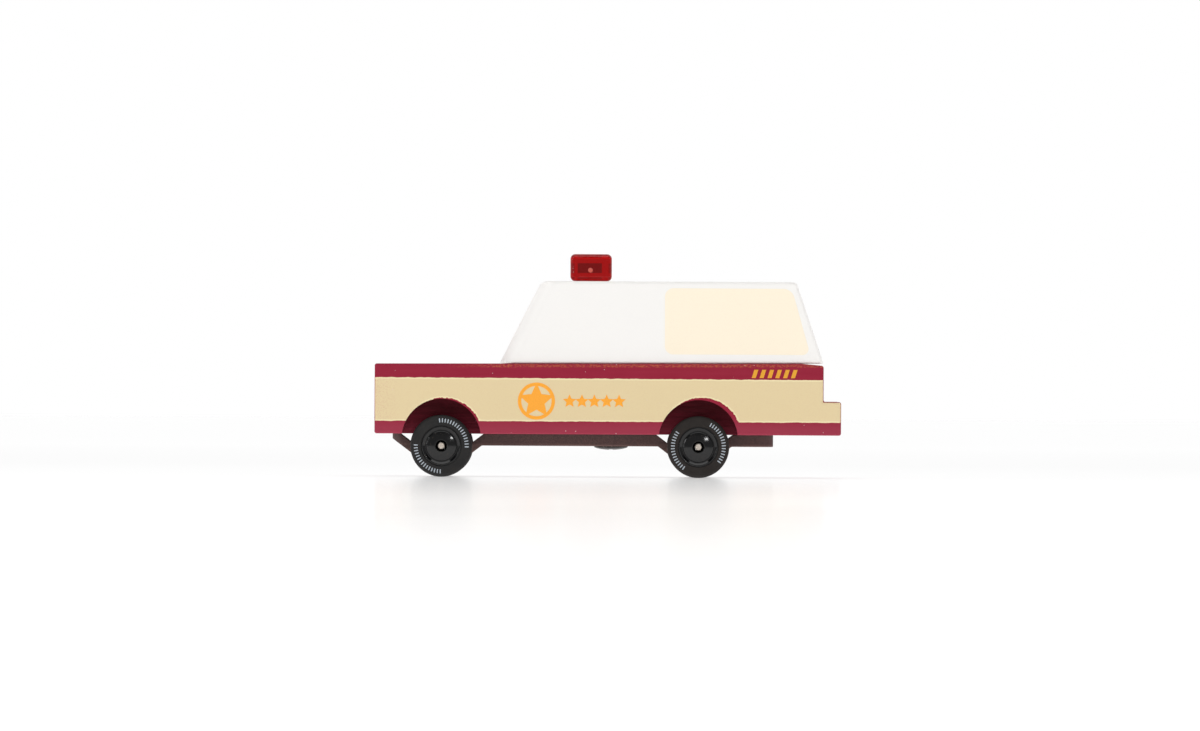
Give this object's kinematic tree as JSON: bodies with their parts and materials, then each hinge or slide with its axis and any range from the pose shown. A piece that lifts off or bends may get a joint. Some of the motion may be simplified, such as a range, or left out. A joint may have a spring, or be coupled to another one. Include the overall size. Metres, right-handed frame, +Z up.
{
  "type": "toy truck",
  "caption": "Wooden toy utility truck: a long cabin block on a body block with wheel wells, a red light bar on the roof, and free-turning axles in a moulded chassis strip",
  "frame": {"origin": "on the floor, under the middle of the truck's length and width", "axes": "+X runs from the nose to the tail, +Y to the truck's right-hand side, +Z up"},
  "size_m": [0.098, 0.038, 0.047],
  "materials": {
    "burgundy_paint": "satin burgundy paint on wood, with a cream side band",
    "white_paint": "satin white paint on wood, with cream printed windows",
    "beech": "bare turned beech",
    "red_lens": "clear red moulded plastic, polished",
    "chassis_plastic": "matt brown-black moulded plastic with a fine grain",
    "screw_steel": "black coated steel",
    "axle_steel": "bright drawn steel rod",
    "hub_plastic": "glossy black moulded plastic",
    "tyre_rubber": "matt black rubber with printed white marks"
  },
  "bodies": {
    "truck_body": {"lower_body": "burgundy_paint", "cabin": "white_paint", "cabin_dowel_front": "beech", "cabin_dowel_rear": "beech", "siren_lens": "red_lens", "chassis": "chassis_plastic", "chassis_screw": "screw_steel"},
    "front_wheelset": {"front_axle": "axle_steel", "front_left_hub": "hub_plastic", "front_left_tyre": "tyre_rubber", "front_right_hub": "hub_plastic", "front_right_tyre": "tyre_rubber"},
    "rear_wheelset": {"rear_axle": "axle_steel", "rear_left_hub": "hub_plastic", "rear_left_tyre": "tyre_rubber", "rear_right_hub": "hub_plastic", "rear_right_tyre": "tyre_rubber"}
  },
  "joints": [
    {"name": "front_axle_spin", "type": "hinge", "parent": "truck_body", "child": "front_wheelset", "pos_m": [-0.03495, 0, 0.0065], "axis": [0, 1, 0], "continuous": true},
    {"name": "rear_axle_spin", "type": "hinge", "parent": "truck_body", "child": "rear_wheelset", "pos_m": [0.01905, 0, 0.0065], "axis": [0, 1, 0], "continuous": true}
  ]
}
